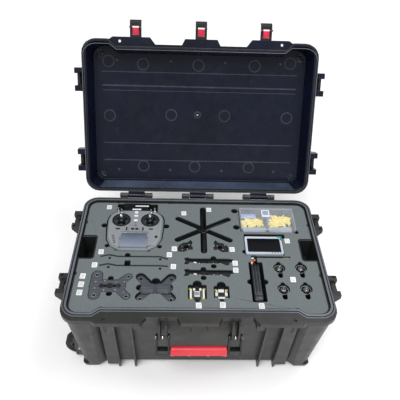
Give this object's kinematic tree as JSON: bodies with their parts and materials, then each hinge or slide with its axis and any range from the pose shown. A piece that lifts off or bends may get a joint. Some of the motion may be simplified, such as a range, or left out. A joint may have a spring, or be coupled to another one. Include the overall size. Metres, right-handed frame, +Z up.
{
  "type": "camera drone kit in a wheeled case",
  "caption": "Wheeled hard case with a hinged lid, latches, a carrying handle and a pull handle; its foam tray holds a camera drone in pieces, its radio, battery and monitor.",
  "frame": {"origin": "on the floor under the middle of the case, in the bottom face of the underside cover", "axes": "+Z up, +X to the right along the long side seen from the front handle, +Y from the front handle to the hinges"},
  "size_m": [0.724, 0.7449, 0.6885],
  "materials": {
    "shell": "satin",
    "lid": "satin",
    "seal": "matte",
    "foam": "matte",
    "grip": "satin",
    "lock": "gloss",
    "tyre": "matte",
    "steel": "brushed",
    "carbon": "satin",
    "moulding": "matte",
    "radio": "satin",
    "board": "satin",
    "battery": "satin",
    "bell": "satin",
    "monitor": "satin",
    "clear": "gloss"
  },
  "bodies": {
    "case": {"base_tub": "shell", "hinge_pin_left": "steel", "hinge_pin_centre": "steel", "hinge_pin_right": "steel", "underside_cover": "shell", "lower_foam": "foam"},
    "lid": {"lid_shell": "lid", "lid_gasket": "seal"},
    "handle": {"handle_frame": "moulding", "handle_grip": "grip"},
    "wheel_front": {"wheel_front": "tyre"},
    "wheel_rear": {"wheel_rear": "tyre"},
    "pull_handle": {"trolley_handle": "moulding"},
    "front_left_latch": {"front_left_latch": "moulding"},
    "front_left_lock": {"front_left_lock": "lock"},
    "front_centre_latch": {"front_centre_latch": "moulding"},
    "front_centre_lock": {"front_centre_lock": "lock"},
    "front_right_latch": {"front_right_latch": "moulding"},
    "front_right_lock": {"front_right_lock": "lock"},
    "side_left_front_latch": {"side_left_front_latch": "moulding"},
    "side_left_front_lock": {"side_left_front_lock": "lock"},
    "side_left_rear_latch": {"side_left_rear_latch": "moulding"},
    "side_left_rear_lock": {"side_left_rear_lock": "lock"},
    "side_right_front_latch": {"side_right_front_latch": "moulding"},
    "side_right_front_lock": {"side_right_front_lock": "lock"},
    "side_right_rear_latch": {"side_right_rear_latch": "moulding"},
    "side_right_rear_lock": {"side_right_rear_lock": "lock"},
    "foam": {"foam_tray": "foam"},
    "radio": {"radio_body": "radio"},
    "radio_stick_left": {"radio_stick_left": "steel"},
    "radio_stick_right": {"radio_stick_right": "steel"},
    "radio_toggle_outer_left": {"radio_toggle_outer_left": "steel"},
    "radio_toggle_inner_left": {"radio_toggle_inner_left": "steel"},
    "radio_toggle_inner_right": {"radio_toggle_inner_right": "steel"},
    "radio_toggle_outer_right": {"radio_toggle_outer_right": "steel"},
    "propeller_lower": {"propeller_lower": "moulding"},
    "propeller_upper": {"propeller_upper": "moulding"},
    "side_plate_rear": {"side_plate_rear": "carbon"},
    "side_plate_front": {"side_plate_front": "carbon"},
    "short_plate_rear": {"short_plate_rear": "carbon"},
    "short_plate_front": {"short_plate_front": "carbon"},
    "camera_bracket_left": {"camera_bracket_left": "moulding"},
    "camera_bracket_right": {"camera_bracket_right": "moulding"},
    "frame_top_plate": {"frame_top_plate": "carbon"},
    "frame_bottom_plate": {"frame_bottom_plate": "carbon"},
    "speed_controller": {"speed_controller": "board"},
    "flight_controller": {"flight_controller": "board"},
    "battery": {"battery": "battery"},
    "antenna": {"antenna": "moulding"},
    "motor_rear_left": {"motor_base_rear_left": "moulding"},
    "motor_bell_rear_left": {"motor_bell_rear_left": "bell"},
    "motor_rear_right": {"motor_base_rear_right": "moulding"},
    "motor_bell_rear_right": {"motor_bell_rear_right": "bell"},
    "motor_front_left": {"motor_base_front_left": "moulding"},
    "motor_bell_front_left": {"motor_bell_front_left": "bell"},
    "motor_front_right": {"motor_base_front_right": "moulding"},
    "motor_bell_front_right": {"motor_bell_front_right": "bell"},
    "monitor": {"monitor": "monitor"},
    "parts_box": {"parts_box": "clear"},
    "parts_box_lid": {"parts_box_lid": "clear"}
  },
  "joints": [
    {"name": "lid_turn", "type": "hinge", "parent": "case", "child": "lid", "pos_m": [0, 0.237, 0.246], "axis": [-1, 0, 0], "range_deg": [-116, 0]},
    {"name": "handle_swing", "type": "hinge", "parent": "case", "child": "handle", "pos_m": [0, -0.222, 0.186], "axis": [-1, 0, 0], "range_deg": [0, 100]},
    {"name": "wheel_front_spin", "type": "hinge", "parent": "case", "child": "wheel_front", "pos_m": [-0.32, -0.145, 0.042], "axis": [0, 1, 0], "continuous": true},
    {"name": "wheel_rear_spin", "type": "hinge", "parent": "case", "child": "wheel_rear", "pos_m": [-0.32, 0.145, 0.042], "axis": [0, 1, 0], "continuous": true},
    {"name": "pull_handle_slide", "type": "slide", "parent": "case", "child": "pull_handle", "axis": [1, 0, 0], "range_m": [0, 0.35]},
    {"name": "front_left_latch_turn", "type": "hinge", "parent": "lid", "child": "front_left_latch", "pos_m": [-0.188, 0.45212, 0.64509], "axis": [-1, 0, 0], "range_deg": [-90, 0]},
    {"name": "front_left_lock_slide", "type": "slide", "parent": "front_left_latch", "child": "front_left_lock", "axis": [0, 0.4384, 0.8988], "range_m": [0, 0.003], "stiffness_N_per_m": 250},
    {"name": "front_centre_latch_turn", "type": "hinge", "parent": "lid", "child": "front_centre_latch", "pos_m": [0, 0.45212, 0.64509], "axis": [-1, 0, 0], "range_deg": [-90, 0]},
    {"name": "front_centre_lock_slide", "type": "slide", "parent": "front_centre_latch", "child": "front_centre_lock", "axis": [0, 0.4384, 0.8988], "range_m": [0, 0.003], "stiffness_N_per_m": 250},
    {"name": "front_right_latch_turn", "type": "hinge", "parent": "lid", "child": "front_right_latch", "pos_m": [0.188, 0.45212, 0.64509], "axis": [-1, 0, 0], "range_deg": [-90, 0]},
    {"name": "front_right_lock_slide", "type": "slide", "parent": "front_right_latch", "child": "front_right_lock", "axis": [0, 0.4384, 0.8988], "range_m": [0, 0.003], "stiffness_N_per_m": 250},
    {"name": "side_left_front_latch_turn", "type": "hinge", "parent": "lid", "child": "side_left_front_latch", "pos_m": [-0.353, 0.40706, 0.54357], "axis": [0, -0.4384, -0.8988], "range_deg": [-180, 0]},
    {"name": "side_left_front_lock_slide", "type": "slide", "parent": "side_left_front_latch", "child": "side_left_front_lock", "axis": [0, 0.8988, -0.4384], "range_m": [0, 0.003], "stiffness_N_per_m": 250},
    {"name": "side_left_rear_latch_turn", "type": "hinge", "parent": "lid", "child": "side_left_rear_latch", "pos_m": [-0.353, 0.30404, 0.33235], "axis": [0, -0.4384, -0.8988], "range_deg": [-180, 0]},
    {"name": "side_left_rear_lock_slide", "type": "slide", "parent": "side_left_rear_latch", "child": "side_left_rear_lock", "axis": [0, 0.8988, -0.4384], "range_m": [0, 0.003], "stiffness_N_per_m": 250},
    {"name": "side_right_front_latch_turn", "type": "hinge", "parent": "lid", "child": "side_right_front_latch", "pos_m": [0.353, 0.40706, 0.54357], "axis": [0, 0.4384, 0.8988], "range_deg": [-180, 0]},
    {"name": "side_right_front_lock_slide", "type": "slide", "parent": "side_right_front_latch", "child": "side_right_front_lock", "axis": [0, 0.8988, -0.4384], "range_m": [0, 0.003], "stiffness_N_per_m": 250},
    {"name": "side_right_rear_latch_turn", "type": "hinge", "parent": "lid", "child": "side_right_rear_latch", "pos_m": [0.353, 0.30404, 0.33235], "axis": [0, 0.4384, 0.8988], "range_deg": [-180, 0]},
    {"name": "side_right_rear_lock_slide", "type": "slide", "parent": "side_right_rear_latch", "child": "side_right_rear_lock", "axis": [0, 0.8988, -0.4384], "range_m": [0, 0.003], "stiffness_N_per_m": 250},
    {"name": "tray_lift", "type": "slide", "parent": "case", "child": "foam", "axis": [0, 0, 1], "range_m": [0, 0.12]},
    {"name": "radio_lift", "type": "slide", "parent": "foam", "child": "radio", "axis": [0, 0, 1], "range_m": [0, 0.1]},
    {"name": "stick_left_tilt", "type": "hinge", "parent": "radio", "child": "radio_stick_left", "pos_m": [-0.22231, 0.127, 0.2425], "axis": [1, 0, 0], "range_deg": [-20, 20], "stiffness_Nm_per_rad": 0.02},
    {"name": "stick_right_tilt", "type": "hinge", "parent": "radio", "child": "radio_stick_right", "pos_m": [-0.13969, 0.127, 0.2425], "axis": [1, 0, 0], "range_deg": [-20, 20], "stiffness_Nm_per_rad": 0.02},
    {"name": "toggle_outer_left_flip", "type": "hinge", "parent": "radio", "child": "radio_toggle_outer_left", "pos_m": [-0.23446, 0.162, 0.2489], "axis": [1, 0, 0], "range_deg": [-12, 12]},
    {"name": "toggle_inner_left_flip", "type": "hinge", "parent": "radio", "child": "radio_toggle_inner_left", "pos_m": [-0.22393, 0.156, 0.2489], "axis": [1, 0, 0], "range_deg": [-12, 12]},
    {"name": "toggle_inner_right_flip", "type": "hinge", "parent": "radio", "child": "radio_toggle_inner_right", "pos_m": [-0.13807, 0.156, 0.2489], "axis": [1, 0, 0], "range_deg": [-12, 12]},
    {"name": "toggle_outer_right_flip", "type": "hinge", "parent": "radio", "child": "radio_toggle_outer_right", "pos_m": [-0.12754, 0.162, 0.2489], "axis": [1, 0, 0], "range_deg": [-12, 12]},
    {"name": "propeller_lower_lift", "type": "slide", "parent": "foam", "child": "propeller_lower", "axis": [0, 0, 1], "range_m": [0, 0.06]},
    {"name": "propeller_upper_lift", "type": "slide", "parent": "propeller_lower", "child": "propeller_upper", "axis": [0, 0, 1], "range_m": [0, 0.04]},
    {"name": "side_plate_rear_lift", "type": "slide", "parent": "foam", "child": "side_plate_rear", "axis": [0, 0, 1], "range_m": [0, 0.08]},
    {"name": "side_plate_front_lift", "type": "slide", "parent": "foam", "child": "side_plate_front", "axis": [0, 0, 1], "range_m": [0, 0.08]},
    {"name": "short_plate_rear_lift", "type": "slide", "parent": "foam", "child": "short_plate_rear", "axis": [0, 0, 1], "range_m": [0, 0.08]},
    {"name": "short_plate_front_lift", "type": "slide", "parent": "foam", "child": "short_plate_front", "axis": [0, 0, 1], "range_m": [0, 0.08]},
    {"name": "camera_bracket_left_lift", "type": "slide", "parent": "foam", "child": "camera_bracket_left", "axis": [0, 0, 1], "range_m": [0, 0.08]},
    {"name": "camera_bracket_right_lift", "type": "slide", "parent": "foam", "child": "camera_bracket_right", "axis": [0, 0, 1], "range_m": [0, 0.08]},
    {"name": "frame_top_plate_lift", "type": "slide", "parent": "foam", "child": "frame_top_plate", "axis": [0, 0, 1], "range_m": [0, 0.08]},
    {"name": "frame_bottom_plate_lift", "type": "slide", "parent": "foam", "child": "frame_bottom_plate", "axis": [0, 0, 1], "range_m": [0, 0.08]},
    {"name": "speed_controller_lift", "type": "slide", "parent": "foam", "child": "speed_controller", "axis": [0, 0, 1], "range_m": [0, 0.08]},
    {"name": "flight_controller_lift", "type": "slide", "parent": "foam", "child": "flight_controller", "axis": [0, 0, 1], "range_m": [0, 0.08]},
    {"name": "battery_lift", "type": "slide", "parent": "foam", "child": "battery", "axis": [0, 0, 1], "range_m": [0, 0.08]},
    {"name": "antenna_lift", "type": "slide", "parent": "foam", "child": "antenna", "axis": [0, 0, 1], "range_m": [0, 0.08]},
    {"name": "motor_rear_left_lift", "type": "slide", "parent": "foam", "child": "motor_rear_left", "axis": [0, 0, 1], "range_m": [0, 0.07]},
    {"name": "motor_bell_rear_left_spin", "type": "hinge", "parent": "motor_rear_left", "child": "motor_bell_rear_left", "pos_m": [0.216, -0.042, 0.225], "axis": [0, 0, 1], "continuous": true},
    {"name": "motor_rear_right_lift", "type": "slide", "parent": "foam", "child": "motor_rear_right", "axis": [0, 0, 1], "range_m": [0, 0.07]},
    {"name": "motor_bell_rear_right_spin", "type": "hinge", "parent": "motor_rear_right", "child": "motor_bell_rear_right", "pos_m": [0.275, -0.041, 0.225], "axis": [0, 0, 1], "continuous": true},
    {"name": "motor_front_left_lift", "type": "slide", "parent": "foam", "child": "motor_front_left", "axis": [0, 0, 1], "range_m": [0, 0.07]},
    {"name": "motor_bell_front_left_spin", "type": "hinge", "parent": "motor_front_left", "child": "motor_bell_front_left", "pos_m": [0.218, -0.112, 0.225], "axis": [0, 0, 1], "continuous": true},
    {"name": "motor_front_right_lift", "type": "slide", "parent": "foam", "child": "motor_front_right", "axis": [0, 0, 1], "range_m": [0, 0.07]},
    {"name": "motor_bell_front_right_spin", "type": "hinge", "parent": "motor_front_right", "child": "motor_bell_front_right", "pos_m": [0.277, -0.111, 0.225], "axis": [0, 0, 1], "continuous": true},
    {"name": "monitor_lift", "type": "slide", "parent": "foam", "child": "monitor", "axis": [0, 0, 1], "range_m": [0, 0.07]},
    {"name": "parts_box_lift", "type": "slide", "parent": "foam", "child": "parts_box", "axis": [0, 0, 1], "range_m": [0, 0.08]},
    {"name": "parts_box_lid_turn", "type": "hinge", "parent": "parts_box", "child": "parts_box_lid", "pos_m": [0.204, 0.187, 0.2443], "axis": [-1, 0, 0], "range_deg": [0, 100]}
  ]
}
